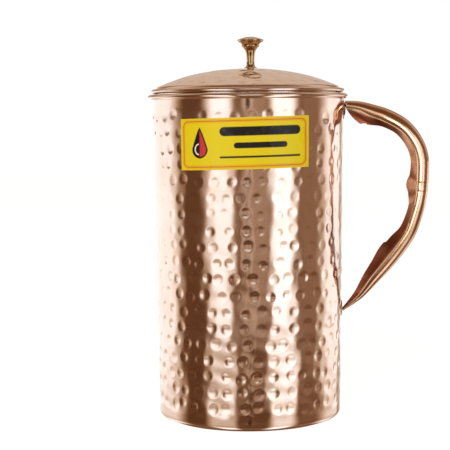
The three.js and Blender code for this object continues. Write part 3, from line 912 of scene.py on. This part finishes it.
body_wall(wall_copper)
base_plate(smooth_copper)
base_braze(brazing)
handle = handle_shell(handle_stained_and_shaded)
handle_top_tab(handle_copper)
braze_fillet("handle_upper_braze", brazing)
braze_fillet("handle_lower_braze", brazing)
label(label_foil())
lid_dome(lid_copper)
lid_collar(smooth_copper)
knob(brass)
knob_washer(brass)
knob_nut(brass)
for wire in ("rim_wire", "lid_edge_wire"):
    frame["nodes"][wire].data.materials.clear()
    frame["nodes"][wire].data.materials.append(wire_copper)


# Studio

FLOOR_SIZE = 6.0  # metres
PAPER_GLOW = 0.89  # lifts the floor to nearly white


def floor():
    """Plain pale floor, which metal doesn't mirror: the studio says what it mirrors low down."""
    mesh = bpy.data.meshes.new("floor")
    half = FLOOR_SIZE / 2
    corners = [(-half, -half, 0), (half, -half, 0), (half, half, 0), (-half, half, 0)]
    mesh.from_pydata(corners, [], [(0, 1, 2, 3)])
    material, tree, shader = new_material("floor", 0.0, 0.9)
    tone = mixed(tree, noise(tree, 6, detail=2), (0.33, 0.34, 0.36), (0.3, 0.31, 0.33))
    tree.links.new(tone, shader.inputs["Base Color"])
    shader.inputs["Emission Color"].default_value = (1, 1, 1, 1)
    shader.inputs["Emission Strength"].default_value = PAPER_GLOW
    mesh.materials.append(material)
    plane = bpy.data.objects.new("floor", mesh)
    bpy.context.scene.collection.objects.link(plane)
    plane.visible_glossy = False


# What polished metal mirrors: glowing panels by direction, each over the ones before it. Degrees round the
# jug from -Y towards +X, how softly the two side edges fade, degrees of elevation, how softly the lower and
# the upper edge fade, then the radiance. In order: the two bright bands, the strips between and beside them,
# and the back.
PANELS = [
    ((-51, -20), (20, 12), (-66, 20), (12, 5), 1.22),
    ((-51, -20), (20, 12), (-32, -12.5), (16, 11), 0.8),
    ((26, 58), (13, 17), (-66, 20), (12, 5), 1.34),
    ((-16, 22), (8, 10), (-13, 12), (7, 4), 0.36),
    ((-14, 16), (10, 10), (5, 26), (4, 8), 1.15),
    ((-16, -9), (4, 4), (-13, 12), (5, 4), 0.2),
    ((64, 98), (14, 24), (-66, 14), (12, 4), 0.26),
    ((-7, -3), (2, 2), (-13, 12), (5, 4), 0.54),
    ((1, 5), (2, 2), (-13, 12), (5, 4), 0.56),
    ((-3.4, 1.2), (1, 1), (-2.4, 3), (0.6, 2), 0.0),
    ((-3, 0.8), (1, 1), (-16, -13), (1, 0.8), 0.0),
    ((-205, -97), (40, 30), (-40, 1.3), (12, 1), 1.15),
    ((101, 145), (28, 8), (-40, 1.3), (12, 1), 1.15),
    ((-205, -100), (20, 20), (1.3, 60), (1, 20), 0.16),
    ((100, 155), (20, 20), (1.3, 60), (1, 20), 0.16),
    ((-205, -100), (20, 20), (4.5, 60), (1.5, 20), 0.64),
    ((100, 155), (20, 20), (4.5, 60), (1.5, 20), 0.64),
    ((-158, -138), (14, 14), (9, 50), (6, 12), 0.3),
    ((138, 158), (14, 14), (9, 50), (6, 12), 0.3),
]
ROOM, FLOOR_GLOW, UNDERSIDE = 0.125, 0.2, 0.12
FRONT_CEILING, BACK_CEILING = 0.18, 0.66
CEILING_RISE, FLOOR_FALL, UNDERSIDE_FALL = (4, 30), (-13.6, -17), (-74, -82)  # elevations where each sets in
FRONT_TO_BACK = (-0.3, 0.5)  # where the ceiling goes from front to back, as the Y of the direction
FLOOR_SHADE = 0.64  # share of the light that is left between these two elevations
SHADE_ENDS, SHADE_SOFTNESS = (-26, -13.2), (10, 6.6)
WARMTH = (1, 1.38, 1.74)  # powers of the radiance in red, green and blue, so that dim light is warm


def blended(tree, share, first, second):
    """Two values mixed by a share. Each may be a number or a socket."""
    change = arithmetic(tree, "SUBTRACT", second, first)
    return arithmetic(tree, "ADD", first, arithmetic(tree, "MULTIPLY", share, change))


def soft_window(tree, value, ends, softness):
    """1 between two ends and 0 outside them, each end as soft as is asked."""
    (low, high), (soft_low, soft_high) = ends, softness
    rise = soft_step(tree, value, low - soft_low / 2, low + soft_low / 2)
    fall = soft_step(tree, value, high + soft_high / 2, high - soft_high / 2)
    return arithmetic(tree, "MULTIPLY", rise, fall)


def world():
    """Dim room with glowing panels, under a ceiling that is brighter behind the jug than in front of it.
    The camera itself sees white paper."""
    scene_world = bpy.data.worlds.new("studio")
    bpy.context.scene.world = scene_world
    scene_world.use_nodes = True
    tree = scene_world.node_tree
    background = tree.nodes["Background"]
    place = tree.nodes.new("ShaderNodeTexCoord")
    split = tree.nodes.new("ShaderNodeSeparateXYZ")
    tree.links.new(place.outputs["Generated"], split.inputs[0])
    x, y, z = split.outputs
    degree = math.degrees(1)
    forwards = arithmetic(tree, "MULTIPLY", y, -1.0)
    turn = arithmetic(tree, "MULTIPLY", arithmetic(tree, "ARCTAN2", x, forwards), degree)
    rise = arithmetic(tree, "MULTIPLY", arithmetic(tree, "ARCSINE", z), degree)
    ceiling = blended(tree, soft_step(tree, y, *FRONT_TO_BACK), FRONT_CEILING, BACK_CEILING)
    light = blended(tree, soft_step(tree, rise, *CEILING_RISE), ROOM, ceiling)
    light = blended(tree, soft_step(tree, rise, *FLOOR_FALL), light, FLOOR_GLOW)
    light = blended(tree, soft_step(tree, rise, *UNDERSIDE_FALL), light, UNDERSIDE)
    for ends, softness, heights, height_softness, radiance in PANELS:
        across = soft_window(tree, turn, ends, softness)
        if ends[0] < -180:
            wrapped = ends[0] + 360
            beyond = soft_step(tree, turn, wrapped - softness[0] / 2, wrapped + softness[0] / 2)
            across = arithmetic(tree, "MAXIMUM", across, beyond)
        cover = arithmetic(tree, "MULTIPLY", across, soft_window(tree, rise, heights, height_softness))
        light = blended(tree, cover, light, radiance)
    shade = blended(tree, soft_window(tree, rise, SHADE_ENDS, SHADE_SOFTNESS), 1.0, FLOOR_SHADE)
    light = arithmetic(tree, "MULTIPLY", light, shade)
    colour = tree.nodes.new("ShaderNodeCombineColor")
    for socket, power in zip(colour.inputs, WARMTH):
        tree.links.new(arithmetic(tree, "POWER", light, power), socket)
    tree.links.new(colour.outputs[0], background.inputs["Color"])
    paper = tree.nodes.new("ShaderNodeBackground")
    paper.inputs["Color"].default_value = (1, 1, 1, 1)
    seen = tree.nodes.new("ShaderNodeLightPath")
    choose = tree.nodes.new("ShaderNodeMixShader")
    tree.links.new(seen.outputs["Is Camera Ray"], choose.inputs["Fac"])
    tree.links.new(background.outputs[0], choose.inputs[1])
    tree.links.new(paper.outputs[0], choose.inputs[2])
    tree.links.new(choose.outputs[0], tree.nodes["World Output"].inputs["Surface"])


def soft_lamp(name, size, energy, place, aim):
    """Round soft lamp that the camera doesn't see."""
    light = bpy.data.lights.new(name, "AREA")
    light.shape = "DISK"
    light.size = size
    light.energy = energy
    lamp = bpy.data.objects.new(light.name, light)
    bpy.context.scene.collection.objects.link(lamp)
    lamp.location = place
    lamp.rotation_euler = (Vector(aim) - lamp.location).to_track_quat("-Z", "Z").to_euler()
    lamp.visible_camera = False
    return lamp


def key_light():
    """Large lamp high to the left of the camera, for the label and the floor. Metal doesn't mirror it."""
    lamp = soft_lamp("key_light", size=0.7, energy=8, place=(-0.4, -1.1, 0.9), aim=(0, 0, 0.1))
    lamp.visible_glossy = False


def handle_light(lit_piece):
    """Lamp to the right of the camera that only the handle mirrors, as a bright line along its side."""
    lamp = soft_lamp("handle_light", size=0.3, energy=0.85, place=(0.27, -0.77, 0.16), aim=(0.09, 0, 0.13))
    lit = bpy.data.collections.new("lit_by_handle_light")
    lit.objects.link(lit_piece)
    lamp.light_linking.receiver_collection = lit


CAMERA_BACK = 762 * MM
CAMERA_PLACE = Vector((-14 * MM, -CAMERA_BACK, 177 * MM))
CAMERA_PITCH = math.radians(4.87)
CAMERA_ROLL = math.radians(-0.5)
FOCAL_LENGTH = 103.2  # on Blender's 36 mm wide sensor


def camera():
    """Camera a little lower than the rim, looking slightly down."""
    data = bpy.data.cameras.new("camera")
    data.lens = FOCAL_LENGTH
    data.clip_start = 0.01
    view = bpy.data.objects.new("camera", data)
    bpy.context.scene.collection.objects.link(view)
    view.location = CAMERA_PLACE
    aim = Euler((math.pi / 2 - CAMERA_PITCH, 0, 0)).to_matrix()
    roll = Euler((0, 0, CAMERA_ROLL)).to_matrix()
    view.rotation_euler = (aim @ roll).to_euler()
    bpy.context.scene.camera = view


floor()
key_light()
handle_light(handle)
world()
camera()
bpy.context.scene.view_settings.view_transform = "Standard"
